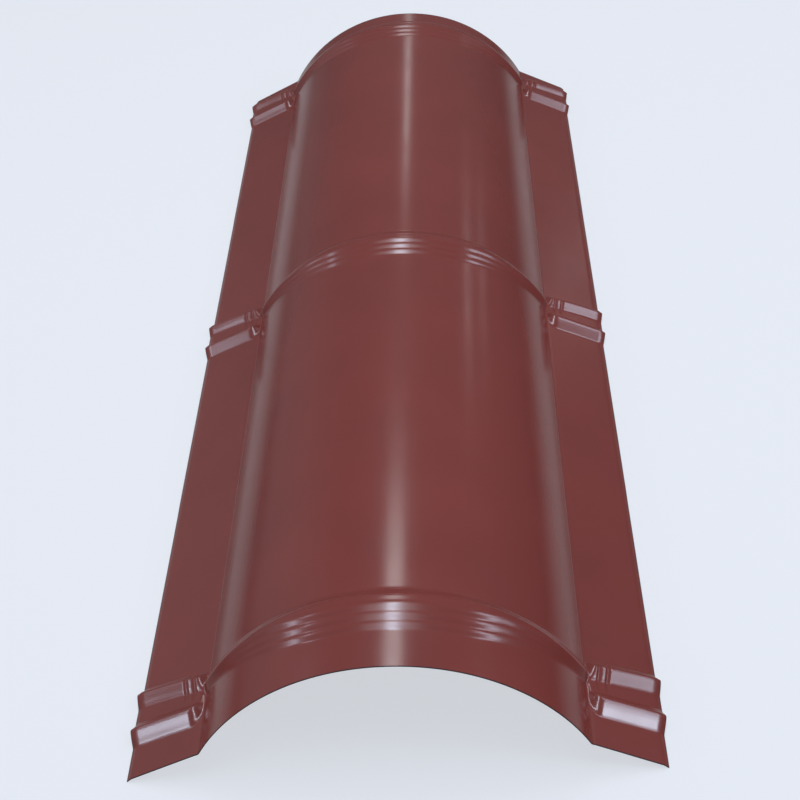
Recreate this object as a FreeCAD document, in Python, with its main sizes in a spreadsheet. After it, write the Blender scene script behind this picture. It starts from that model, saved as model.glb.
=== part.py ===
import FreeCAD, Part
import math
import os
import Sketcher

# Half-round ridge cap, pressed from one strip of coated steel.
# X runs across the ridge, Y along it with the near end at -Y, and Z up.
# The origin lies on the floor under the middle of the cap.

# Driving dimensions in millimetres and degrees
SIZES = {
    # the plain sheet section
    "overall_length": 985.0,
    "plain_width": 350.0,
    "plain_height": 100.0,
    "sheet_thickness": 0.5,
    "barrel_radius": 142.5,
    "flange_slope": 25.5,
    "bend_radius": 3.0,
    "edge_strip": 4.0,
    "edge_turn": 15.0,
    # the plain lips before the first bead station and behind the last one
    "near_lip": 27.0,
    "far_lip": 13.0,
    "station_count": 3,
    # the two saw-tooth ridges on each flange, the front one nearer to the near end
    "ridge_height": 6.0,
    "ridge_radius": 1.6,
    "front_ridge_rise": 11.5,
    "front_ridge_fall": 7.0,
    "valley_height": 2.0,
    "valley_length": 14.5,
    "rear_ridge_rise": 10.0,
    "rear_ridge_fall": 8.0,
    "ridge_gap": 2.0,
    "ridge_taper": 7.0,
    # the band over the barrel: ribs that step up to a level crest, and a steep back
    "band_lag": 5.0,
    "rib_count": 3,
    "rib_pitch": 7.0,
    "rib_step": 1.5,
    "rib_radius": 8.0,
    "crest_length": 5.0,
    "band_fall": 7.0,
    "band_gap": 1.0,
    "band_taper": 10.0,
}

doc = FreeCAD.newDocument("ridge_cap")
sizes = doc.addObject("Spreadsheet::Sheet", "sizes")
for row, (alias, value) in enumerate(SIZES.items(), start=1):
    sizes.set(f"A{row}", alias)
    sizes.set(f"B{row}", str(value))
    sizes.setAlias(f"B{row}", alias)
doc.recompute()

body = doc.addObject("PartDesign::Body", "ridge_cap")
body.Label = "ridge_cap"
datums = {datum.Role: datum for datum in body.Origin.OriginFeatures}
START, END, CENTRE = range(1, 4)
LEVEL_AXIS, UPRIGHT_AXIS = range(-1, -3, -1)
ORIGIN = (LEVEL_AXIS, START)

# How deep an added outline reaches into the sheet, and how far a cut one reaches past its underside
EMBED = "sizes.sheet_thickness / 2"
CLEAR = "sizes.sheet_thickness * 2"
# The cut edge is square to the flange, so it crosses the turned-down strip at a slant
CUT_EDGE = "sizes.sheet_thickness / cos(sizes.edge_turn * 1deg)"
# How far a tapered end sinks below the surface that it fades into
SINK = "sizes.sheet_thickness / 4"
# The bead stations share out the length between the two plain lips
STATION_LENGTH = ("(sizes.front_ridge_rise + sizes.front_ridge_fall + sizes.valley_length"
                  " + sizes.rear_ridge_rise + sizes.rear_ridge_fall)")
STATION_PITCH = (f"(sizes.overall_length - sizes.near_lip - sizes.far_lip - {STATION_LENGTH})"
                 " / (sizes.station_count - 1)")


def size(alias):
    return float(sizes.get(alias))


def polar(centre, distance, angle):
    """The point at a distance from a centre, at an angle from straight up towards the right."""
    return (centre[0] + distance * math.sin(angle), centre[1] + distance * math.cos(angle))


def touch(start, centre, radius, way):
    """Where a line from start lies on top of a circle ahead of it, to the right (1) or left (-1)."""
    ahead, above = (centre[0] - start[0]) * way, centre[1] - start[1]
    reach = math.sqrt(ahead ** 2 + above ** 2 - radius ** 2)
    angle = math.atan2(above, ahead) + math.atan2(radius, reach)
    return (start[0] + way * reach * math.cos(angle), start[1] + reach * math.sin(angle))


class Edge:
    """One edge of an outline: its number in the sketch, and its ends in the order of the outline."""

    def __init__(self, number, first, last):
        self.number = number
        self.first = (number, first)
        self.last = (number, last)


class Outline:
    """A sketch of one closed outline, with named dimensions bound to the sheet."""

    def __init__(self, name, plane):
        self.sketch = body.newObject("Sketcher::SketchObject", name)
        self.sketch.AttachmentSupport = [(datums[plane], "")]
        self.sketch.MapMode = "FlatFace"

    def amount(self, expression):
        return FreeCAD.Units.Quantity(self.sketch.evalExpression(expression)).Value

    def place(self, out, up, turn):
        """Move to the first bead station and across the ridge, and turn about the ridge's direction."""
        along_ridge = FreeCAD.Rotation(FreeCAD.Vector(1, 0, 0), 1)
        self.sketch.AttachmentOffset = FreeCAD.Placement(FreeCAD.Vector(), along_ridge)
        self.sketch.setExpression("AttachmentOffset.Base.x", "sizes.near_lip - sizes.overall_length / 2")
        self.sketch.setExpression("AttachmentOffset.Base.y", up)
        self.sketch.setExpression("AttachmentOffset.Base.z", out)
        self.sketch.setExpression("AttachmentOffset.Rotation.Angle", turn)

    def line(self, start, end):
        shape = Part.LineSegment(FreeCAD.Vector(*start, 0), FreeCAD.Vector(*end, 0))
        return Edge(self.sketch.addGeometry(shape), START, END)

    def arc(self, start, end, radius, bulge):
        """An arc that bulges to the left of the way from start to end (1) or to the right of it (-1)."""
        first = FreeCAD.Vector(*start, 0)
        chord = FreeCAD.Vector(*end, 0) - first
        side = FreeCAD.Vector(-chord.y, chord.x, 0).normalize() * bulge
        rise = radius - math.sqrt(radius ** 2 - (chord.Length / 2) ** 2)
        middle = first + chord * 0.5 + side * rise
        number = self.sketch.addGeometry(Part.Arc(first, middle, first + chord))
        # a sketch stores its arcs anticlockwise, so one that bulges to the left is stored last end first
        return Edge(number, END, START) if bulge > 0 else Edge(number, START, END)

    def rule(self, kind, *items):
        return self.sketch.addConstraint(Sketcher.Constraint(kind, *items))

    def join(self, edge, following, smooth=False):
        self.rule("Tangent" if smooth else "Coincident", *edge.last, *following.first)

    def bind(self, name, expression, kind, *items):
        """Add a dimension, name it and take its size from the sheet."""
        amount = self.amount(expression)
        index = self.rule(kind, *items, math.radians(amount) if kind == "Angle" else amount)
        self.sketch.renameConstraint(index, name)
        self.sketch.setExpression(f"Constraints.{name}", expression)

    def measure(self, name, kind, *items):
        """Add a reference dimension, which the other sketches read."""
        index = self.rule(kind, *items, 1.0)
        self.sketch.setDriving(index, False)
        self.sketch.renameConstraint(index, name)

    def foot(self, point, across=None, above=None, below=None):
        """Place the first point of a contour from the origin of the sketch."""
        if across:
            self.bind("lag", across, "DistanceX", *ORIGIN, *point)
        else:
            self.rule("PointOnObject", *point, UPRIGHT_AXIS)
        if above:
            self.bind("level", above, "DistanceY", *ORIGIN, *point)
        elif below:
            self.bind("level", below, "DistanceY", *point, *ORIGIN)
        else:
            self.rule("PointOnObject", *point, LEVEL_AXIS)

    def close_below(self, contour, depth, smooth=()):
        """Join a contour's edges and close it with a straight base under its two feet."""
        left = self.sketch.getPoint(*contour[0].first)
        right = self.sketch.getPoint(*contour[-1].last)
        low = left.y - self.amount(depth)
        down = self.line((right.x, right.y), (right.x, low))
        base = self.line((right.x, low), (left.x, low))
        rise = self.line((left.x, low), (left.x, left.y))
        edges = contour + [down, base, rise]
        for edge, following in zip(edges, edges[1:] + edges[:1]):
            self.join(edge, following, edge in smooth)
        self.rule("Vertical", down.number)
        self.rule("Horizontal", base.number)
        self.rule("Vertical", rise.number)
        self.bind("depth", depth, "DistanceY", *rise.first, *rise.last)


def sheet_section():
    """Right half of the plain sheet: barrel arc, bend, sloping flange and turned-down edge strip."""
    thick = size("sheet_thickness")
    radius = size("barrel_radius")
    bend = size("bend_radius")
    slope = math.radians(size("flange_slope"))
    turned = slope + math.radians(size("edge_turn"))
    axis = (0.0, size("plain_height") - radius)
    edge = (size("plain_width") / 2, thick / math.cos(turned - slope) * math.cos(slope))
    strip = size("edge_strip")
    fold = (edge[0] - strip * math.cos(turned), edge[1] + strip * math.sin(turned))
    reach = (fold[1] + fold[0] * math.tan(slope) - axis[1]) * math.cos(slope)
    foot_angle = slope + math.acos((reach + bend) / (radius + bend))
    corner_angle = slope + math.acos(reach / radius)
    bend_axis = polar(axis, radius + bend, foot_angle)
    low_edge = polar(edge, -thick / math.cos(turned - slope), slope)
    low_fold = polar(fold, -thick, slope)
    top_crown, low_crown = polar(axis, radius, 0), polar(axis, radius - thick, 0)
    top_foot, low_foot = polar(axis, radius, foot_angle), polar(axis, radius - thick, foot_angle)
    top_root, low_root = polar(bend_axis, -bend, slope), polar(bend_axis, -bend - thick, slope)

    outline = Outline("sheet_section", "XZ_Plane")
    top_barrel = outline.arc(top_crown, top_foot, radius, 1)
    top_bend = outline.arc(top_foot, top_root, bend, -1)
    top_flange = outline.line(top_root, fold)
    top_strip = outline.line(fold, edge)
    cut_edge = outline.line(edge, low_edge)
    low_strip = outline.line(low_edge, low_fold)
    low_flange = outline.line(low_fold, low_root)
    low_bend = outline.arc(low_root, low_foot, bend + thick, 1)
    low_barrel = outline.arc(low_foot, low_crown, radius - thick, -1)
    seam = outline.line(low_crown, top_crown)
    edges = [top_barrel, top_bend, top_flange, top_strip, cut_edge,
             low_strip, low_flange, low_bend, low_barrel, seam]
    for before, after in zip(edges, edges[1:] + edges[:1]):
        outline.join(before, after, before in (top_barrel, top_bend, low_flange, low_bend))

    outline.rule("PointOnObject", *seam.first, UPRIGHT_AXIS)
    outline.rule("Vertical", seam.number)
    outline.rule("PointOnObject", top_barrel.number, CENTRE, UPRIGHT_AXIS)
    outline.rule("Coincident", top_barrel.number, CENTRE, low_barrel.number, CENTRE)
    outline.rule("Coincident", top_bend.number, CENTRE, low_bend.number, CENTRE)
    outline.rule("Parallel", top_flange.number, low_flange.number)
    outline.rule("Parallel", top_strip.number, low_strip.number)
    outline.rule("Perpendicular", top_flange.number, cut_edge.number)
    outline.rule("PointOnObject", *low_strip.first, LEVEL_AXIS)
    outline.bind("plain_height", "sizes.plain_height", "DistanceY", *ORIGIN, *top_barrel.first)
    outline.bind("barrel_radius", "sizes.barrel_radius", "Radius", top_barrel.number)
    outline.bind("thickness", "sizes.sheet_thickness", "Distance", seam.number)
    outline.bind("bend_radius", "sizes.bend_radius", "Radius", top_bend.number)
    outline.bind("half_width", "sizes.plain_width / 2", "DistanceX", *ORIGIN, *cut_edge.first)
    outline.bind("edge_strip", "sizes.edge_strip", "Distance", top_strip.number)
    outline.bind("cut_edge", CUT_EDGE, "Distance", cut_edge.number)
    outline.bind("flange_slope", "-sizes.flange_slope * 1deg", "Angle", top_flange.number)
    strip_slope = "-(sizes.flange_slope + sizes.edge_turn) * 1deg"
    outline.bind("strip_slope", strip_slope, "Angle", top_strip.number)

    crossing = Part.Point(FreeCAD.Vector(*polar(axis, radius, corner_angle), 0))
    corner = outline.sketch.addGeometry(crossing, True)
    outline.rule("PointOnObject", corner, START, top_barrel.number)
    outline.rule("PointOnObject", corner, START, top_flange.number)
    for name, point in (("corner", (corner, START)), ("fold", top_strip.first), ("edge", cut_edge.first)):
        outline.measure(f"{name}_out", "DistanceX", *ORIGIN, *point)
        outline.measure(f"{name}_up", "DistanceY", *ORIGIN, *point)
    return outline.sketch


def ridge_outline(name, depth):
    """The two saw-tooth ridges and the raised valley between them, seen along the flange slope."""
    outline = Outline(name, "YZ_Plane")
    radius = size("ridge_radius")
    centre_height = size("ridge_height") - radius

    def ridge(start, across, fall, end_height):
        centre = (start[0] + across, centre_height)
        end = (centre[0] + fall, end_height)
        up, down = touch(start, centre, radius, 1), touch(end, centre, radius, -1)
        return [outline.line(start, up), outline.arc(up, down, radius, 1), outline.line(down, end)], end

    valley_height = size("valley_height")
    rise, fall = size("front_ridge_rise"), size("front_ridge_fall")
    front, valley_start = ridge((0, 0), rise, fall, valley_height)
    valley_end = (valley_start[0] + size("valley_length"), valley_height)
    rise, fall = size("rear_ridge_rise"), size("rear_ridge_fall")
    rear, foot = ridge(valley_end, rise, fall, 0.0)
    valley = outline.line(valley_start, valley_end)

    outline.foot(front[0].first)
    crest_height = "sizes.ridge_height - sizes.ridge_radius"
    for side, (rise, crest, fall) in (("front", front), ("rear", rear)):
        centre = (crest.number, CENTRE)
        outline.bind(f"{side}_rise", f"sizes.{side}_ridge_rise", "DistanceX", *rise.first, *centre)
        outline.bind(f"{side}_fall", f"sizes.{side}_ridge_fall", "DistanceX", *centre, *fall.last)
        outline.bind(f"{side}_crest", crest_height, "DistanceY", *ORIGIN, *centre)
        outline.bind(f"{side}_radius", "sizes.ridge_radius", "Radius", crest.number)
    outline.rule("Horizontal", valley.number)
    outline.bind("valley_height", "sizes.valley_height", "DistanceY", *ORIGIN, *valley.first)
    outline.bind("valley_length", "sizes.valley_length", "DistanceX", *valley.first, *valley.last)
    outline.rule("PointOnObject", *rear[2].last, LEVEL_AXIS)
    outline.close_below(front + [valley] + rear, depth, smooth=front[:2] + rear[:2])
    return outline


def band_outline(name, level, depth):
    """The ribs and crest of a band, seen square to the ridge, at a height above the barrel's axis."""
    outline = Outline(name, "YZ_Plane")
    radius = size("rib_radius")
    start = (size("band_lag"), size("barrel_radius"))
    ribs = []
    for rib in range(int(size("rib_count"))):
        end = (start[0] + size("rib_pitch"), start[1] + size("rib_step"))
        ribs.append(outline.arc(start, end, radius, 1))
        start = end
    end = (start[0] + size("crest_length"), start[1])
    crest = outline.line(start, end)
    back = outline.line(end, (end[0] + size("band_fall"), size("barrel_radius")))

    outline.foot(ribs[0].first, across="sizes.band_lag", above=level)
    for number, rib in enumerate(ribs, start=1):
        outline.bind(f"rib{number}_pitch", "sizes.rib_pitch", "DistanceX", *rib.first, *rib.last)
        outline.bind(f"rib{number}_step", "sizes.rib_step", "DistanceY", *rib.first, *rib.last)
        outline.bind(f"rib{number}_radius", "sizes.rib_radius", "Radius", rib.number)
    outline.rule("Horizontal", crest.number)
    outline.bind("crest_length", "sizes.crest_length", "DistanceX", *crest.first, *crest.last)
    outline.bind("fall", "sizes.band_fall", "DistanceX", *back.first, *back.last)
    outline.rule("Horizontal", *ribs[0].first, *back.last)
    outline.close_below(ribs + [crest, back], depth)
    return outline


def flat_outline(name, steps, depth, across=None, above=None, below=None):
    """A faded end: as many edges as the full outline, all level and just under the sheet's surface."""
    outline = Outline(name, "YZ_Plane")
    left = outline.amount(across) if across else 0.0
    level = outline.amount(above) if above else -outline.amount(below)
    edges = []
    for step in steps:
        right = left + outline.amount(step)
        edges.append(outline.line((left, level), (right, level)))
        left = right
    outline.foot(edges[0].first, across, above, below)
    for number, (edge, step) in enumerate(zip(edges, steps), start=1):
        outline.rule("Horizontal", edge.number)
        outline.bind(f"step{number}", step, "DistanceX", *edge.first, *edge.last)
    outline.close_below(edges, depth)
    return outline


def loft(kind, name, outlines):
    feature = body.newObject(f"PartDesign::{kind}Loft", name)
    feature.Profile = outlines[0].sketch
    feature.Sections = [outline.sketch for outline in outlines[1:]]
    feature.Ruled = True
    return feature


def revolve(kind, name, outline, angle):
    feature = body.newObject(f"PartDesign::{kind}", name)
    feature.Profile = outline.sketch
    feature.ReferenceAxis = (outline.sketch, ["H_Axis"])
    feature.setExpression("Angle", angle)
    return feature


BARREL_UP = "sizes.plain_height - sizes.barrel_radius"
CORNER_ANGLE = "asin(sheet_section.Constraints.corner_out / (sizes.barrel_radius * 1mm))"
BAND_END = f"{CORNER_ANGLE} - sizes.band_gap / sizes.barrel_radius * 1rad"
BAND_FULL = f"{CORNER_ANGLE} - (sizes.band_gap + sizes.band_taper) / sizes.barrel_radius * 1rad"
FLANGE_SLOPE = "sizes.flange_slope * 1deg"


def band(side, level, depth, additive, turning):
    """A band over the barrel that tapers into the sheet just above the bend."""
    full = band_outline(f"band_{side}", level, depth)
    full.place("0", BARREL_UP, "0deg")
    start = band_outline(f"band_{side}_start", level, depth)
    start.place("0", BARREL_UP, BAND_FULL)
    steps = ["sizes.rib_pitch"] * int(size("rib_count")) + ["sizes.crest_length", "sizes.band_fall"]
    sunk = f"{level} - {SINK}"
    end = flat_outline(f"band_{side}_end", steps, depth, across="sizes.band_lag", above=sunk)
    end.place("0", BARREL_UP, BAND_END)
    arch = revolve(turning, f"band_{side}_arch", full, BAND_FULL)
    taper = loft(additive, f"band_{side}_taper", [start, end])
    return [arch, taper]


def ridges(side, drop, edge_drop, depth, additive):
    """The ridges across the flange, from their tapered inner ends to the cut edge."""

    def section(outline, drop, out, up):
        out = f"{out} - {drop} * 1mm * sin({FLANGE_SLOPE})"
        up = f"{up} - {drop} * 1mm * cos({FLANGE_SLOPE})"
        outline.place(out, up, FLANGE_SLOPE)

    def from_corner(distance):
        out = f"sheet_section.Constraints.corner_out + {distance} * 1mm * cos({FLANGE_SLOPE})"
        up = f"sheet_section.Constraints.corner_up - {distance} * 1mm * sin({FLANGE_SLOPE})"
        return out, up

    def crest_steps(place):
        rise = f"sizes.{place}_ridge_rise - sizes.ridge_radius / 2"
        fall = f"sizes.{place}_ridge_fall - sizes.ridge_radius / 2"
        return [rise, "sizes.ridge_radius", fall]

    steps = crest_steps("front") + ["sizes.valley_length"] + crest_steps("rear")
    end = flat_outline(f"ridges_{side}_end", steps, depth, below=SINK)
    full = ridge_outline(f"ridges_{side}_full", depth)
    fold = ridge_outline(f"ridges_{side}_fold", depth)
    edge = ridge_outline(f"ridges_{side}_edge", depth)
    section(end, drop, *from_corner("sizes.ridge_gap"))
    section(full, drop, *from_corner("(sizes.ridge_gap + sizes.ridge_taper)"))
    section(fold, drop, "sheet_section.Constraints.fold_out", "sheet_section.Constraints.fold_up")
    section(edge, edge_drop, "sheet_section.Constraints.edge_out", "sheet_section.Constraints.edge_up")
    return [loft(additive, f"ridges_{side}", [end, full, fold, edge])]


section = sheet_section()
stock = body.newObject("PartDesign::Pad", "plain_sheet")
stock.Profile = section
stock.SideType = "Symmetric"
stock.setExpression("Length", "sizes.overall_length")
doc.recompute()

TOP = "sizes.barrel_radius"
UNDERSIDE = "(sizes.barrel_radius - sizes.sheet_thickness)"
station = band("top", TOP, EMBED, "Additive", "Revolution")
station += ridges("top", "0", "0", EMBED, "Additive")
station += band("under", UNDERSIDE, CLEAR, "Subtractive", "Groove")
station += ridges("under", "sizes.sheet_thickness", CUT_EDGE, CLEAR, "Subtractive")

stations = body.newObject("PartDesign::LinearPattern", "stations")
stations.Originals = station
stations.Direction = (datums["Y_Axis"], [""])
stations.Mode = "Spacing"
stations.setExpression("Offset", STATION_PITCH)
stations.setExpression("Occurrences", "sizes.station_count")
body.Tip = stations
doc.recompute()

both_sides = body.newObject("PartDesign::Mirrored", "both_sides")
both_sides.TransformMode = "Whole shape"
both_sides.MirrorPlane = (datums["YZ_Plane"], [""])
both_sides.Refine = False
body.Tip = both_sides
doc.recompute()

faulty = [item.Name for item in doc.Objects if {"Invalid", "Error"} & set(item.State)]
if faulty:
    raise RuntimeError(f"failed features: {faulty}")
if body.Shape.isNull() or not body.Shape.isValid() or len(body.Shape.Solids) != 1:
    raise RuntimeError("the cap is not one valid solid")
os.makedirs("parts", exist_ok=True)
body.Shape.exportStep(f"parts/{body.Label}.step")
print("volume", round(body.Shape.Volume), "mm3")
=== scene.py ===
import math

import bmesh
import bpy
from mathutils import Matrix, Vector


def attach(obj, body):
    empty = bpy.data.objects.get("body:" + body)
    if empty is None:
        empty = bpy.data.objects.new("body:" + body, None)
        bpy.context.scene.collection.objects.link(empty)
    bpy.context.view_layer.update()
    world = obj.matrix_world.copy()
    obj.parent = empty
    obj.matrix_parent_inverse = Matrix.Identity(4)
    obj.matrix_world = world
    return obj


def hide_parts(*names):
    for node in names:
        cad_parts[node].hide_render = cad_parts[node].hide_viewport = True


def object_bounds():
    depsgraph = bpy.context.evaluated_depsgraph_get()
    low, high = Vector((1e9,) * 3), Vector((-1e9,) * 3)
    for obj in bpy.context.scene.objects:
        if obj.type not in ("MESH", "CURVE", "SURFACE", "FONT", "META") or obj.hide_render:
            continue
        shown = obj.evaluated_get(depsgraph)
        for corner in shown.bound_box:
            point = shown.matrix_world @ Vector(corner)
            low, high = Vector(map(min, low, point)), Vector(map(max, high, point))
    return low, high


bl_info = {
    "name": "Pressed Ridge Cap",
    "version": (1, 0, 0),
    "blender": (4, 5, 0),
    "location": "View3D > Sidebar > Ridge Cap",
    "description": "Presses a coated steel ridge cap and sets it on a pale studio floor",
    "category": "Object",
}

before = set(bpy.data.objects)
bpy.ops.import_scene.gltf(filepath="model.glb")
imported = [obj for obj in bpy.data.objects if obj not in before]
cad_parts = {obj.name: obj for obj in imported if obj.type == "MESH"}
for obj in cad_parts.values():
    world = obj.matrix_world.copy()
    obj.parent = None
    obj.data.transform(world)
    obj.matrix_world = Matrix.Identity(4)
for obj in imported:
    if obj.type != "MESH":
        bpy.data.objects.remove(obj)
CAD_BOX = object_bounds()
LOW, HIGH = CAD_BOX
MM = 0.001
STATIONS = 3

# rows along the ridge: how far apart they lie at a bead station, in plain sheet and in the far
# lip, and how far the close rows run past a station
FINE_ROW, PLAIN_ROW, LIP_ROW = 0.95 * MM, 13 * MM, 4 * MM
STATION_MARGIN = 5 * MM

# steps across half the sheet, from the crown out, with the widths of the fine parts that lie on
# either side of the bend
BARREL_STEPS, FOOT_STEPS, BEND_STEPS = 34, 14, 3
INNER_STEPS, OUTER_STEPS, STRIP_STEPS = 23, 10, 3
FINE_FOOT, FINE_FLANGE = 16 * MM, 21 * MM
SAME_PLACE = 0.01 * MM

# the press tools, by what they leave in the sheet
RIDGE_FLAT = 0.9 * MM               # half of the level top of a ridge
RIDGE_EASING = 1.4 * MM             # roundness of the ridges' corners
RIB_EASING = 1.3 * MM               # roundness of the ribs' corners
SKEW_OVER = (-20 * MM, 55 * MM)     # where the slant of the ridges runs out, from the corner
END_STEEPNESS = 1.2                 # rise of a ridge's inner end for each millimetre outwards
END_FILLET = 2.0 * MM               # between that end and the top of the ridge
CREASE_PLACES = (1.25, 2.25)        # from the inner end, in crease pitches
CREASE_HALF_WIDTH = 1.6 * MM
DIP_REACH = 2.5                     # how far out the rear ridge's dip runs, in crease pitches
WANE_OVER = (4 * MM, 112 * MM)      # where the band grows to its full height, up from its foot
BULGE_OVER = (12 * MM, 60 * MM)     # where its ribs grow round
FOOT_FADE = 6 * MM                  # how far up the barrel the band's foot fades in
LEAST_CREST = 1 * MM
BAND_FILLET = 0.8 * MM              # between the band and the plain barrel
JOIN_FILLET = 1.0 * MM              # between the band's foot and the ridges
JOIN_LEAST = 0.1 * MM               # height above which both take part in that fillet
STATION_MIDDLE = 25 * MM            # from a station's start, to tell which station is nearest
PAST_BEND = 3 * MM                  # from here out the sheet is lifted square to the flange

# the sheet's coats, in the order of its material slots
PAINT, BACKING, SHADED_EDGE = range(3)


def from_hex(code):
    """An sRGB hex colour as linear red, green and blue."""
    channels = [int(code[i:i + 2], 16) / 255 for i in (0, 2, 4)]
    return [c / 12.92 if c <= 0.04045 else ((c + 0.055) / 1.055) ** 2.4 for c in channels]


def length(name, description, default):
    return bpy.props.FloatProperty(name=name, description=description, default=default * MM,
                                   min=0.0, unit="LENGTH", precision=5)


def angle(name, description, default):
    return bpy.props.FloatProperty(name=name, description=description,
                                   default=math.radians(default), unit="ROTATION",
                                   subtype="ANGLE")


def colour(name, description, code):
    return bpy.props.FloatVectorProperty(name=name, description=description,
                                         default=from_hex(code), subtype="COLOR", size=3,
                                         min=0.0, max=1.0)


class RidgeCapSizes(bpy.types.PropertyGroup):
    """Sizes of the cap, lengths in millimetres and angles in degrees where they are given here"""
    overall_length: length("Overall length", "From the near end to the far end",
                           (HIGH.y - LOW.y) / MM)
    plain_width: length("Plain width", "Over the flange edges, between the bead stations", 350.0)
    plain_height: length("Plain height", "Crown of the barrel above the floor", 100.0)
    sheet_thickness: length("Sheet thickness", "Steel with its coatings", 0.5)
    barrel_radius: length("Barrel radius", "Outside of the half-round", 142.5)
    flange_slope: angle("Flange slope", "How far each flange falls outwards", 25.5)
    bend_radius: length("Bend radius", "Hollow of the bend between barrel and flange", 3.0)
    edge_strip: length("Edge strip", "Width of the turned-down strip along each flange", 4.0)
    edge_turn: angle("Edge turn", "How far the strip is turned down from the flange", 15.0)
    # the strip along each cut is painted shade: it takes the cut edge's near-black to darken the
    # sheet's outline
    shaded_border: length("Paint break",
                        "Bare strip where the shears cracked the paint along each cut", 0.5)

    near_lip: length("Near lip", "Plain sheet before the first bead station", 27.0)
    station_pitch: length("Station pitch", "From one bead station to the next", 447.0)

    ridge_height: length("Ridge height", "Crests of the flange ridges above the flange", 6.0)
    front_rise: length("Front ridge rise", "Long face of the front ridge", 11.5)
    front_fall: length("Front ridge fall", "Short face of the front ridge", 7.0)
    valley_height: length("Valley height", "Floor between the ridges above the flange", 2.0)
    valley_length: length("Valley length", "Floor between the two ridges", 14.5)
    rear_rise: length("Rear ridge rise", "Long face of the rear ridge", 10.0)
    rear_fall: length("Rear ridge fall", "Short face of the rear ridge", 8.0)
    face_bow: length("Face bow", "How far the long faces of the ridges bulge", 0.2)
    end_gap: length("End gap", "From the bend to the inner end of the ridges", 0.8)
    end_round: length("End round", "How wide the front ridge's inner end is rounded", 9.0)
    end_sweep: length("End sweep", "How far that rounding sweeps back along the cap", 17.0)
    front_skew: length("Front skew",
                       "How much nearer the front ridge's inner end lies than its outer", 2.0)
    rear_skew: length("Rear skew",
                      "How much nearer the rear ridge's inner end lies than its outer", 6.5)
    rear_dip: length("Rear dip", "How much lower the rear ridge is at its inner end", 0.6)
    crease_depth: length("Crease depth",
                         "Depth of the creases across the rear ridge's inner end", 0.8)
    crease_pitch: length("Crease pitch", "From crease to crease", 6.5)

    band_lag: length("Band lag", "How far behind the front ridge the barrel band starts", 5.0)
    rib_count: bpy.props.IntProperty(name="Rib count", default=3,
                                     description="Ribs that step up to the crest")
    rib_pitch: length("Rib pitch", "From rib to rib along the ridge", 7.0)
    rib_step: length("Rib step", "How much higher each rib ends", 1.5)
    rib_radius: length("Rib radius", "Roundness of each rib", 8.0)
    crest_length: length("Crest length", "Level top behind the last rib", 5.0)
    back_length: length("Back length", "Back of the band, down to the plain barrel", 12.0)
    foot_shift: length("Foot shift",
                       "How far the ribs crowd back at the feet of the band", 17.0)
    foot_drop: length("Foot drop", "How much lower the band is at its feet", 0.9)
    foot_reach: length("Foot reach", "How far the band's foot runs out over the flange", 7.0)


class RidgeCapColours(bpy.types.PropertyGroup):
    """Colours of the sheet's coats and of the floor"""
    paint: colour("Paint", "Oxide red coil paint", "692C26")
    backing: colour("Backing coat", "Grey lacquer on the underside", "A3A29D")
    # the cut edge's near-black is painted shade, on the sheared steel and on the strip along each
    # cut
    shaded_cut_edge: colour("Cut edge", "Sheared steel", "151212")
    floor: colour("Floor", "Pale studio floor", "E1E4EA")


def add_node(tree, kind, settings=None, links=None):
    """A node with its settings by name, and each input set to a value or linked from a socket."""
    node = tree.nodes.new(kind)
    for name, value in (settings or {}).items():
        setattr(node, name, value)
    for name, value in (links or {}).items():
        if isinstance(value, bpy.types.NodeSocket):
            tree.links.new(value, node.inputs[name])
        else:
            node.inputs[name].default_value = value
    return node


def new_material(name):
    """An empty material and its node tree."""
    material = bpy.data.materials.new(name)
    material.use_nodes = True
    material.node_tree.nodes.clear()
    return material, material.node_tree


def per_metre(millimetres):
    """The scale of a noise whose features are that many millimetres apart."""
    return 1.0 / (millimetres * MM)


def shade(rgb, factor=1.0):
    """A colour made darker or lighter, with its alpha."""
    return [c * factor for c in rgb] + [1.0]


def coil_paint(colours):
    """Polyester coil paint, rolled on and baked: an even satin gloss over a faint peel."""
    material, tree = new_material("oxide_red_coil_paint")
    place = add_node(tree, "ShaderNodeTexCoord").outputs["Object"]
    # the coating's shade drifts a little over a hand's width
    drift = add_node(tree, "ShaderNodeTexNoise", {}, {
        "Vector": place, "Scale": per_metre(90), "Detail": 3.0})
    tone = add_node(tree, "ShaderNodeValToRGB", {}, {"Fac": drift.outputs["Fac"]})
    dark, light = tone.color_ramp.elements
    dark.position, light.position = 0.3, 0.7
    dark.color, light.color = shade(colours.paint, 0.94), shade(colours.paint, 1.06)
    # peel of the baked film, about 2 mm from dimple to dimple
    peel = add_node(tree, "ShaderNodeTexNoise", {}, {
        "Vector": place, "Scale": per_metre(2.2), "Detail": 2.0})
    bump = add_node(tree, "ShaderNodeBump", {}, {
        "Height": peel.outputs["Fac"], "Strength": 0.04, "Distance": 0.3 * MM})
    # the gloss differs slightly where the roller and the press have rubbed
    rub = add_node(tree, "ShaderNodeTexNoise", {}, {
        "Vector": place, "Scale": per_metre(28), "Detail": 4.0})
    gloss = add_node(tree, "ShaderNodeMapRange", {}, {
        "Value": rub.outputs["Fac"], "From Min": 0.3, "From Max": 0.7,
        "To Min": 0.17, "To Max": 0.21})
    shader = add_node(tree, "ShaderNodeBsdfPrincipled", {}, {
        "Base Color": tone.outputs["Color"], "Roughness": gloss.outputs["Result"],
        "Normal": bump.outputs["Normal"], "IOR": 1.5})
    add_node(tree, "ShaderNodeOutputMaterial", {}, {"Surface": shader.outputs["BSDF"]})
    return material


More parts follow.
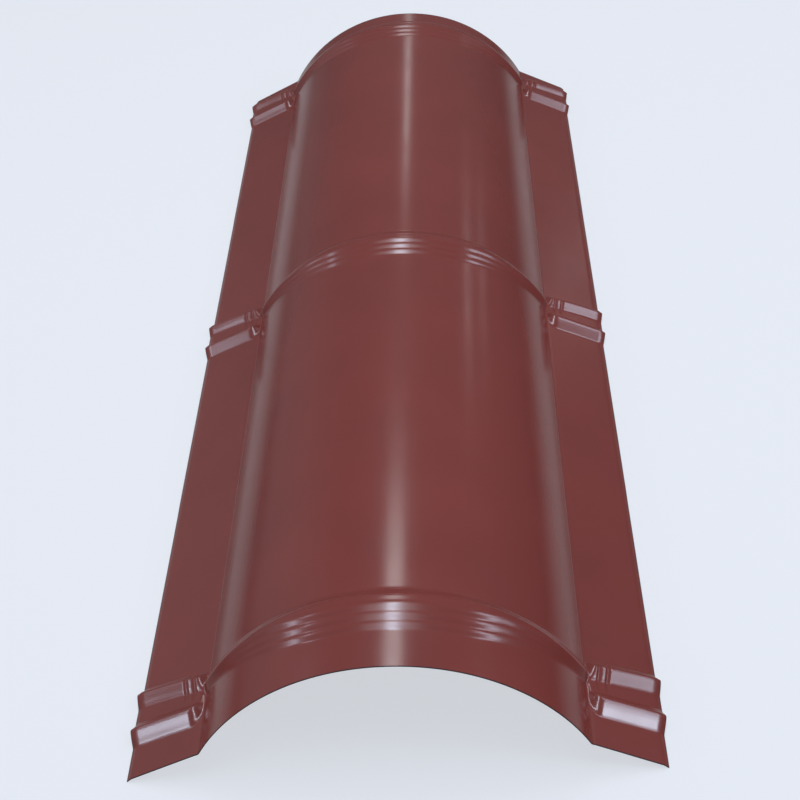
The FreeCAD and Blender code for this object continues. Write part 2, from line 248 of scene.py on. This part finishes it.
def backing_coat(colours):
    """Thin epoxy lacquer on the back of the coil: duller than the face, with a slight mottle."""
    material, tree = new_material("grey_backing_lacquer")
    place = add_node(tree, "ShaderNodeTexCoord").outputs["Object"]
    mottle = add_node(tree, "ShaderNodeTexNoise", {}, {
        "Vector": place, "Scale": per_metre(14), "Detail": 5.0})
    tone = add_node(tree, "ShaderNodeValToRGB", {}, {"Fac": mottle.outputs["Fac"]})
    dark, light = tone.color_ramp.elements
    dark.color, light.color = shade(colours.backing, 0.9), shade(colours.backing, 1.05)
    shader = add_node(tree, "ShaderNodeBsdfPrincipled", {}, {
        "Base Color": tone.outputs["Color"], "Roughness": 0.42, "IOR": 1.5})
    add_node(tree, "ShaderNodeOutputMaterial", {}, {"Surface": shader.outputs["BSDF"]})
    return material


def sheared_steel_in_painted_shade(colours):
    """Guillotined edge of zinc-coated steel, with fine streaks through the thickness. Its
    near-black colour is painted shade, on the cut faces and on the strip along each cut.
    """
    material, tree = new_material("sheared_steel_painted_shade")
    place = add_node(tree, "ShaderNodeTexCoord").outputs["Object"]
    streaks = add_node(tree, "ShaderNodeTexNoise", {}, {
        "Vector": place, "Scale": per_metre(0.8), "Detail": 1.0})
    tone = add_node(tree, "ShaderNodeValToRGB", {}, {"Fac": streaks.outputs["Fac"]})
    dark, light = tone.color_ramp.elements
    dark.color, light.color = shade(colours.shaded_cut_edge, 0.8), shade(colours.shaded_cut_edge, 1.4)
    shader = add_node(tree, "ShaderNodeBsdfPrincipled", {}, {
        "Base Color": tone.outputs["Color"], "Roughness": 0.6, "Specular IOR Level": 0.2})
    add_node(tree, "ShaderNodeOutputMaterial", {}, {"Surface": shader.outputs["BSDF"]})
    return material


def smooth_step(value, start, end):
    """0 up to the start, 1 from the end on, and an S-curve between them."""
    t = min(1.0, max(0.0, (value - start) / (end - start)))
    return t * t * (3 - 2 * t)


def soft_least(a, b, blend):
    """The smaller of two heights, with a fillet where they meet."""
    t = max(blend - abs(a - b), 0.0) / blend
    return min(a, b) - t * t * blend / 4


def broken_line(points, place):
    """The height of a line through points at a place along the ridge."""
    for (start, low), (end, high) in zip(points, points[1:]):
        if start <= place <= end:
            return low + (high - low) * (place - start) / (end - start)
    return 0.0


def eased(profile, place, width):
    """A profile with its corners rounded as the press leaves them."""
    weights = (0.12, 0.22, 0.32, 0.22, 0.12)
    return sum(w * profile(place + width * (k - 2) / 2) for k, w in enumerate(weights))


class Section:
    """Where the plain sheet runs across the ridge, worked out from its sizes.

    Its angles are turned outwards from the crown. The foot is where the barrel passes into the
    bend, and the corner is where barrel and flange would meet if they weren't bent round.
    """

    def __init__(self, sizes):
        self.radius, self.bend = sizes.barrel_radius, sizes.bend_radius
        self.slope = sizes.flange_slope
        self.axis = sizes.plain_height - self.radius
        self.edge = Vector((sizes.plain_width / 2, 0,
                            sizes.sheet_thickness / math.cos(sizes.edge_turn)
                            * math.cos(self.slope)))
        turned = self.slope + sizes.edge_turn
        self.fold = self.edge + sizes.edge_strip * Vector((-math.cos(turned), 0,
                                                           math.sin(turned)))
        reach = ((self.fold.z + self.fold.x * math.tan(self.slope) - self.axis)
                 * math.cos(self.slope))
        self.foot_angle = self.slope + math.acos((reach + self.bend) / (self.radius + self.bend))
        self.corner_angle = self.slope + math.acos(reach / self.radius)
        self.corner = self.around_axis(self.radius, self.corner_angle)
        self.bend_axis = self.around_axis(self.radius + self.bend, self.foot_angle)
        self.root = self.bend_axis - self.bend * Vector((math.sin(self.slope), 0,
                                                         math.cos(self.slope)))

    def around_axis(self, radius, turn):
        """The point at a radius from the barrel's axis and an angle from the crown."""
        return Vector((radius * math.sin(turn), 0, self.axis + radius * math.cos(turn)))

    def beyond_corner(self, point):
        """How far a point lies from the corner, out along the flange.

        Less than nothing is a distance up the barrel.
        """
        out = abs(point.x)
        turn = math.atan2(out, point.z - self.axis)
        if turn < self.foot_angle:
            return (turn - self.corner_angle) * self.radius
        return (out - self.corner.x) / math.cos(self.slope)


def spread(start, end, count):
    """Even places from the start to just before the end."""
    return [start + (end - start) * k / count for k in range(count)]


def row_places(sizes):
    """Distances from the near end at which the sheet gets a row: dense at the bead stations."""
    span = (sizes.front_rise + sizes.front_fall + sizes.valley_length
            + sizes.rear_rise + sizes.rear_fall + 2 * STATION_MARGIN)
    rows, place, far_end = [], 0.0, sizes.overall_length
    for station in range(STATIONS):
        start = sizes.near_lip + station * sizes.station_pitch - STATION_MARGIN
        rows += spread(place, start, max(1, round((start - place) / PLAIN_ROW)))
        rows += spread(start, start + span, round(span / FINE_ROW))
        place = start + span
    rows += spread(place, far_end, max(1, round((far_end - place) / LIP_ROW)))
    # rows at the inner border of the painted-shade strip at each end
    return [rows[0], sizes.shaded_border, *rows[1:], far_end - sizes.shaded_border, far_end]


def draw_line(bm, start, places):
    """A line of vertices along the ridge, drawn out from one vertex."""
    verts = [bm.verts.new(start + Vector((0, places[0], 0)))]
    for ahead in places[1:]:
        grown = bmesh.ops.extrude_vert_indiv(bm, verts=[verts[-1]])["verts"]
        bmesh.ops.translate(bm, verts=grown, vec=(0, start.y + ahead - grown[0].co.y, 0))
        verts += grown
    return verts + bm.edges[:]


def roll(bm, line, centre, turn, steps):
    """Carry the sheet's free edge round a centre, as the rolls do."""
    made = bmesh.ops.spin(bm, geom=line, cent=centre, axis=(0, 1, 0), dvec=(0, 0, 0), angle=turn,
                          steps=steps, use_merge=False, use_duplicate=False)
    return made["geom_last"]


def carry(bm, line, offset, steps):
    """Carry the sheet's free edge straight out in equal steps."""
    for _ in range(steps):
        edges = [item for item in line if isinstance(item, bmesh.types.BMEdge)]
        line = bmesh.ops.extrude_edge_only(bm, edges=edges)["geom"]
        verts = [item for item in line if isinstance(item, bmesh.types.BMVert)]
        bmesh.ops.translate(bm, verts=verts, vec=offset / steps)
    return line


def plain_sheet(sizes, section):
    """The plain sheet before its beads are pressed: half of it rolled and folded, then mirrored."""
    bm = bmesh.new()
    crown = Vector((0, -sizes.overall_length / 2, sizes.plain_height))
    line = draw_line(bm, crown, row_places(sizes))
    axis = Vector((0, 0, section.axis))
    foot_turn = FINE_FOOT / section.radius
    line = roll(bm, line, axis, section.foot_angle - foot_turn, BARREL_STEPS)
    line = roll(bm, line, axis, foot_turn, FOOT_STEPS)
    line = roll(bm, line, section.bend_axis, section.slope - section.foot_angle, BEND_STEPS)
    inner = FINE_FLANGE * Vector((math.cos(section.slope), 0, -math.sin(section.slope)))
    line = carry(bm, line, inner, INNER_STEPS)
    line = carry(bm, line, section.fold - section.root - inner, OUTER_STEPS)
    strip = section.edge - section.fold
    # the outermost part of the turned-down strip is the border that gets painted shade
    dark_border = strip.normalized() * sizes.shaded_border
    line = carry(bm, line, strip - dark_border, STRIP_STEPS)
    carry(bm, line, dark_border, 1)
    bmesh.ops.mirror(bm, geom=bm.verts[:] + bm.edges[:] + bm.faces[:], axis="X",
                     merge_dist=SAME_PLACE)
    bmesh.ops.remove_doubles(bm, verts=bm.verts[:], dist=SAME_PLACE)
    bmesh.ops.recalc_face_normals(bm, faces=bm.faces[:])
    if sum(face.normal.z for face in bm.faces) < 0:
        bmesh.ops.reverse_faces(bm, faces=bm.faces[:])
    return bm


def ridge_profile(sizes, local):
    """Height of the two saw-tooth ridges and the valley between them, along the flange."""
    crest, valley = sizes.ridge_height, sizes.valley_height
    top_front, low_front = sizes.front_rise, sizes.front_rise + sizes.front_fall
    low_rear = low_front + sizes.valley_length
    top_rear = low_rear + sizes.rear_rise
    mid_front, mid_rear = (top_front - RIDGE_FLAT) / 2, (low_rear + top_rear - RIDGE_FLAT) / 2
    line = [(0, 0), (mid_front, crest / 2 + sizes.face_bow), (top_front - RIDGE_FLAT, crest),
            (top_front + RIDGE_FLAT, crest), (low_front, valley), (low_rear, valley),
            (mid_rear, (crest + valley) / 2 + sizes.face_bow), (top_rear - RIDGE_FLAT, crest),
            (top_rear + RIDGE_FLAT, crest), (top_rear + sizes.rear_fall, 0)]
    return eased(lambda place: broken_line(line, place), local, RIDGE_EASING)


def creases(sizes, inside):
    """How deep the creases lie where the band's foot gathers the sheet beside the rear ridge."""
    dip = sizes.rear_dip * (1 - smooth_step(inside, 0.0, DIP_REACH * sizes.crease_pitch))
    nearest = min(abs(inside - k * sizes.crease_pitch) for k in CREASE_PLACES)
    return dip + sizes.crease_depth * (1 - smooth_step(nearest, 0.0, CREASE_HALF_WIDTH))


def ridges_at(sizes, away, local):
    """The ridges with their inner ends drawn round and pinched where they meet the barrel."""
    inside = away - sizes.end_gap
    if inside <= 0:
        return 0.0
    low_front = sizes.front_rise + sizes.front_fall

    def rear_share(place):
        return smooth_step(place, low_front, low_front + sizes.valley_length)

    skew = sizes.front_skew + (sizes.rear_skew - sizes.front_skew) * rear_share(local)
    local += skew * (1 - smooth_step(inside, *SKEW_OVER))
    if local < low_front:
        short = max(0.0, 1 - inside / sizes.end_round)
        swept = sizes.end_sweep * (1 - math.sqrt(1 - short ** 2))
        local = max(0.0, local - swept * (1 - smooth_step(local, sizes.front_rise, low_front)))
    height = ridge_profile(sizes, local) - rear_share(local) * creases(sizes, inside)
    return max(0.0, soft_least(height, inside * END_STEEPNESS, END_FILLET))


def band_at(sizes, from_foot, local):
    """Height of the band: ribs that step up, then a level crest and a long back.

    Each rib is a round, a step above the one before. Towards its feet the band sinks, and its
    ribs crowd back against the crest and fade.
    """
    wane = 1 - smooth_step(from_foot, *WANE_OVER)
    bulging = smooth_step(from_foot, *BULGE_OVER)
    stepped = sizes.rib_count * sizes.rib_pitch
    top = sizes.band_lag + stepped + sizes.crest_length
    start = sizes.band_lag + sizes.foot_shift * wane
    squeeze = min(1.0, (top - start - LEAST_CREST) / stepped)
    half = math.hypot(sizes.rib_pitch, sizes.rib_step) / 2
    deep = math.sqrt(sizes.rib_radius ** 2 - half ** 2)

    def ribs(place):
        along = (place - start) / squeeze
        if along < 0:
            return 0.0
        if along > stepped:
            fallen = max(0.0, place - top) / sizes.back_length
            return sizes.rib_count * sizes.rib_step * (1 - smooth_step(fallen, 0.0, 1.0))
        within = (along / sizes.rib_pitch) % 1.0
        bulge = math.sqrt(sizes.rib_radius ** 2 - (half * (2 * within - 1)) ** 2) - deep
        return sizes.rib_step * along / sizes.rib_pitch + bulge * bulging

    raised = eased(ribs, local, RIB_EASING) - sizes.foot_drop * wane
    fade = smooth_step(from_foot, -sizes.foot_reach, FOOT_FADE)
    return max(0.0, -soft_least(-raised, 0.0, BAND_FILLET)) * fade


def bead_height(sizes, away, place):
    """How far the press lifts the sheet: beyond the corner by so much, and so far along."""
    nearest = round((place - sizes.near_lip - STATION_MIDDLE) / sizes.station_pitch)
    station = min(STATIONS - 1, max(0, nearest))
    local = place - sizes.near_lip - station * sizes.station_pitch
    ridges = ridges_at(sizes, away, local) if away > 0 else 0.0
    band = band_at(sizes, -away, local) if away < sizes.foot_reach else 0.0
    if min(ridges, band) > JOIN_LEAST:
        return -soft_least(-ridges, -band, JOIN_FILLET)
    return max(ridges, band)


def press_beads(bm, sizes, section):
    """Lift each vertex square to the plain sheet by the depth of the beads there."""
    bm.normal_update()
    near_end = -sizes.overall_length / 2
    for vert in bm.verts:
        away = section.beyond_corner(vert.co)
        if away > PAST_BEND:
            normal = Vector((math.copysign(math.sin(section.slope), vert.co.x), 0,
                             math.cos(section.slope)))
        else:
            normal = Vector((vert.normal.x, 0, vert.normal.z)).normalized()
        vert.co += normal * bead_height(sizes, away, vert.co.y - near_end)


class OBJECT_OT_ridge_cap_sheet(bpy.types.Operator):
    """Press the ridge cap from one sheet of coated steel"""
    bl_idname = "object.ridge_cap_sheet"
    bl_label = "Press Ridge Cap"

    def execute(self, context):
        sizes = context.scene.ridge_cap_sizes
        colours = context.scene.ridge_cap_colours
        section = Section(sizes)
        bm = plain_sheet(sizes, section)
        press_beads(bm, sizes, section)
        for face in bm.faces:
            face.smooth = True
            # the outermost faces are a strip of painted shade, in the cut edge's near-black, along
            # the sheet's outline
            cut = any(edge.is_boundary for edge in face.edges)
            face.material_index = SHADED_EDGE if cut else PAINT
        for edge in bm.edges:
            edge.smooth = not edge.is_boundary
        mesh = bpy.data.meshes.new("ridge_cap_sheet")
        bm.to_mesh(mesh)
        bm.free()
        sheet = bpy.data.objects.new("ridge_cap_sheet", mesh)
        context.scene.collection.objects.link(sheet)
        for material in (coil_paint(colours), backing_coat(colours), sheared_steel_in_painted_shade(colours)):
            mesh.materials.append(material)
        wall = sheet.modifiers.new("wall", "SOLIDIFY")
        wall.thickness = sizes.sheet_thickness
        wall.offset = -1.0
        wall.use_quality_normals = True
        wall.material_offset = BACKING
        # the cut faces get the near-black of painted shade
        wall.material_offset_rim = SHADED_EDGE
        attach(sheet, "root")
        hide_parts("ridge_cap")
        return {"FINISHED"}


# ceiling panels: between which places across the room and along it, at what height, how bright
# a square metre is in the paint, and of what tint, a daylight blue or plain white
DAYLIGHT, WHITE = "DAE8FC", "FFFFFF"
CEILING_PANELS = (
    ("middle_core", (-0.13, 0.05), (-1.6, 1.15), 2.1, 21.5, DAYLIGHT),
    ("middle_wide", (-0.52, 0.38), (-1.2, 0.9), 2.12, 1.3, WHITE),
    ("middle_back", (-0.22, 0.12), (1.15, 1.98), 2.1, 5.0, WHITE),
    ("middle_far", (-0.08, 0.06), (3.8, 5.6), 2.1, 3.4, WHITE),
    ("right_near", (2.3, 3.05), (-1.7, -0.93), 2.1, 23.5, DAYLIGHT),
    ("right_link", (2.4, 3.2), (-0.93, 0.35), 2.1, 8.5, DAYLIGHT),
    ("right_back", (2.15, 2.85), (0.35, 1.5), 2.1, 6.5, DAYLIGHT),
    ("right_ribs", (1.95, 2.15), (0.3, 1.7), 2.1, 8.0, DAYLIGHT),
    ("right_far", (2.2, 2.4), (4.2, 5.1), 2.1, 2.6, WHITE),
    ("right_glow", (3.4, 3.85), (6.1, 6.7), 2.1, 2.0, WHITE),
    ("left_near", (-3.55, -3.02), (-1.3, -0.62), 2.1, 24.0, DAYLIGHT),
    ("left_link", (-3.02, -2.87), (-1.3, 0.35), 2.1, 17.0, DAYLIGHT),
    ("left_back", (-3.3, -2.95), (0.35, 1.5), 2.1, 7.0, DAYLIGHT),
    ("left_ribs", (-2.87, -2.62), (-0.3, 0.8), 2.1, 9.0, DAYLIGHT),
    ("left_far_ribs", (-2.3, -2.0), (0.8, 1.8), 2.1, 6.0, DAYLIGHT),
)

FLOOR_HALF_SIZE = 30.0
# how bright the floor glows in the paint, a painted pool of light: beside the cap, and from there
# out
FLOOR_BESIDE, FLOOR_BEYOND, FLOOR_FADE = 0.62, 0.05, (0.16, 0.48)
# how much brighter floor and room are in the paint on the left, and over which stretch that grows;
# on the floor it is painted light
LEFT_GAIN, FLOOR_LEFT, ROOM_LEFT = 0.22, (-0.4, -1.0), (-0.35, -0.7)
# the share of the floor in view that shows its colour evenly; the rest takes the shadow
FLOOR_EVEN = 0.8
# how bright the room is low down and high up, over which part of its height, and in view, where
# it meets the far floor
ROOM_LOW, ROOM_HIGH, ROOM_RISE, ROOM_IN_VIEW = 0.105, 0.35, (0.05, 0.7), 0.73
ROOM_TINT = (0.9, 0.925, 1.0, 1.0)

# the photograph's camera, fitted to the cap's outline, flange edges, bends and stations
CAMERA_PLACE = (0.0558, -1.1718, 0.8052)
CAMERA_FORWARD = (-0.04345466, 0.80222969, -0.59543196)
CAMERA_UP = (0.03598589, 0.59686504, 0.80153424)
FOCAL_PIXELS, FRAME_PIXELS = 1593.4, 800


def matt_floor(colours):
    """Matt floor paint: pale and even, with a light shadow.

    In the cap's paint it glows as a painted pool of light: bright beside the cap and dark further
    out, as it does in a room whose light falls on the cap.
    """
    material, tree = new_material("matt_studio_floor")
    place = add_node(tree, "ShaderNodeTexCoord").outputs["Object"]
    across = add_node(tree, "ShaderNodeSeparateXYZ", {}, {"Vector": place}).outputs["X"]
    aside = add_node(tree, "ShaderNodeMath", {"operation": "ABSOLUTE"}, {0: across})
    beside = add_node(tree, "ShaderNodeMapRange", {"interpolation_type": "SMOOTHSTEP"}, {
        "Value": aside.outputs["Value"], "From Min": FLOOR_FADE[0], "From Max": FLOOR_FADE[1],
        "To Min": FLOOR_BESIDE, "To Max": FLOOR_BEYOND})
    left = add_node(tree, "ShaderNodeMapRange", {"interpolation_type": "SMOOTHSTEP"}, {
        "Value": across, "From Min": FLOOR_LEFT[0], "From Max": FLOOR_LEFT[1],
        "To Min": 0.0, "To Max": LEFT_GAIN})
    lit = add_node(tree, "ShaderNodeMath", {"operation": "ADD"}, {
        0: beside.outputs["Result"], 1: left.outputs["Result"]})
    path = add_node(tree, "ShaderNodeLightPath")
    # mirrored rays see the floor glow with that painted light instead of its matt colour
    mirrored = add_node(tree, "ShaderNodeMath", {"operation": "MAXIMUM"}, {
        0: path.outputs["Is Glossy Ray"], 1: path.outputs["Is Transmission Ray"]})
    glow = add_node(tree, "ShaderNodeMix", {"data_type": "FLOAT"}, {
        "Factor": mirrored.outputs["Value"], "A": 1.0, "B": lit.outputs["Value"]})
    evenly = add_node(tree, "ShaderNodeMath", {"operation": "MULTIPLY_ADD"}, {
        0: path.outputs["Is Camera Ray"], 1: FLOOR_EVEN, 2: mirrored.outputs["Value"]})
    matt = add_node(tree, "ShaderNodeBsdfDiffuse", {}, {"Color": shade(colours.floor)})
    even = add_node(tree, "ShaderNodeEmission", {}, {
        "Color": shade(colours.floor), "Strength": glow.outputs["Result"]})
    mixed = add_node(tree, "ShaderNodeMixShader", {}, {
        0: evenly.outputs["Value"], 1: matt.outputs["BSDF"], 2: even.outputs["Emission"]})
    add_node(tree, "ShaderNodeOutputMaterial", {}, {"Surface": mixed.outputs["Shader"]})
    return material


def lay_floor(scene):
    """One flat square of floor under the cap."""
    bm = bmesh.new()
    bmesh.ops.create_grid(bm, x_segments=1, y_segments=1, size=FLOOR_HALF_SIZE)
    mesh = bpy.data.meshes.new("studio_floor")
    bm.to_mesh(mesh)
    bm.free()
    floor = bpy.data.objects.new("studio_floor", mesh)
    mesh.materials.append(matt_floor(scene.ridge_cap_colours))
    scene.collection.objects.link(floor)


def surround_with_room(scene):
    """A dim room that grows brighter upwards and to the left, and is pale where it is in view."""
    world = bpy.data.worlds.new("studio_world")
    world.use_nodes = True
    tree = world.node_tree
    tree.nodes.clear()
    way = add_node(tree, "ShaderNodeTexCoord").outputs["Generated"]
    sides = add_node(tree, "ShaderNodeSeparateXYZ", {}, {"Vector": way})
    rise = add_node(tree, "ShaderNodeMapRange", {}, {
        "Value": sides.outputs["Z"], "From Min": ROOM_RISE[0], "From Max": ROOM_RISE[1],
        "To Min": ROOM_LOW, "To Max": ROOM_HIGH})
    left = add_node(tree, "ShaderNodeMapRange", {"interpolation_type": "SMOOTHSTEP"}, {
        "Value": sides.outputs["X"], "From Min": ROOM_LEFT[0], "From Max": ROOM_LEFT[1],
        "To Min": 0.0, "To Max": LEFT_GAIN})
    lit = add_node(tree, "ShaderNodeMath", {"operation": "ADD"}, {
        0: rise.outputs["Result"], 1: left.outputs["Result"]})
    path = add_node(tree, "ShaderNodeLightPath")
    seen = add_node(tree, "ShaderNodeMix", {"data_type": "FLOAT"}, {
        "Factor": path.outputs["Is Camera Ray"], "A": lit.outputs["Value"], "B": ROOM_IN_VIEW})
    glow = add_node(tree, "ShaderNodeBackground", {}, {
        "Color": ROOM_TINT, "Strength": seen.outputs["Result"]})
    add_node(tree, "ShaderNodeOutputWorld", {}, {"Surface": glow.outputs["Background"]})
    scene.world = world


def hang_panel(scene, name, across, along, height, radiance, tint):
    """A lit ceiling panel that faces the floor, between two places across and two along."""
    lamp = bpy.data.lights.new(name, "AREA")
    lamp.shape = "RECTANGLE"
    lamp.size, lamp.size_y = across[1] - across[0], along[1] - along[0]
    lamp.energy = radiance * math.pi * (across[1] - across[0]) * (along[1] - along[0])
    lamp.color = from_hex(tint)
    panel = bpy.data.objects.new(name, lamp)
    panel.location = sum(across) / 2, sum(along) / 2, height
    scene.collection.objects.link(panel)


def stand_camera(scene):
    """The camera where the photograph was taken from, with its field of view."""
    camera = bpy.data.objects.new("camera", bpy.data.cameras.new("camera"))
    forward, up = Vector(CAMERA_FORWARD), Vector(CAMERA_UP)
    turned = Matrix((forward.cross(up), up, -forward)).transposed()
    camera.matrix_world = Matrix.Translation(CAMERA_PLACE) @ turned.to_4x4()
    camera.data.lens = FOCAL_PIXELS / FRAME_PIXELS * camera.data.sensor_width
    scene.collection.objects.link(camera)
    scene.camera = camera


class OBJECT_OT_ridge_cap_stage(bpy.types.Operator):
    """Set up the floor, the lamps, the world and the camera"""
    bl_idname = "object.ridge_cap_stage"
    bl_label = "Set Up Stage"

    def execute(self, context):
        scene = context.scene
        scene.view_settings.view_transform = "Standard"
        lay_floor(scene)
        surround_with_room(scene)
        for panel in CEILING_PANELS:
            hang_panel(scene, *panel)
        stand_camera(scene)
        return {"FINISHED"}


class VIEW3D_PT_ridge_cap(bpy.types.Panel):
    """The cap's sizes, its colours and the steps that make it"""
    bl_label = "Ridge Cap"
    bl_idname = "VIEW3D_PT_ridge_cap"
    bl_space_type = "VIEW_3D"
    bl_region_type = "UI"
    bl_category = "Ridge Cap"

    def draw(self, context):
        layout = self.layout
        for group in (context.scene.ridge_cap_sizes, context.scene.ridge_cap_colours):
            column = layout.column(align=True)
            for name in group.bl_rna.properties.keys():
                if name not in ("rna_type", "name"):
                    column.prop(group, name)
        for operator in OPERATORS:
            layout.operator(operator.bl_idname)


OPERATORS = (OBJECT_OT_ridge_cap_sheet, OBJECT_OT_ridge_cap_stage)
CLASSES = (RidgeCapSizes, RidgeCapColours) + OPERATORS + (VIEW3D_PT_ridge_cap,)


def register():
    for item in CLASSES:
        bpy.utils.register_class(item)
    bpy.types.Scene.ridge_cap_sizes = bpy.props.PointerProperty(type=RidgeCapSizes)
    bpy.types.Scene.ridge_cap_colours = bpy.props.PointerProperty(type=RidgeCapColours)


def unregister():
    del bpy.types.Scene.ridge_cap_colours
    del bpy.types.Scene.ridge_cap_sizes
    for item in reversed(CLASSES):
        bpy.utils.unregister_class(item)


def main():
    register()
    bpy.ops.object.ridge_cap_sheet()
    bpy.ops.object.ridge_cap_stage()


if __name__ == "__main__":
    main()
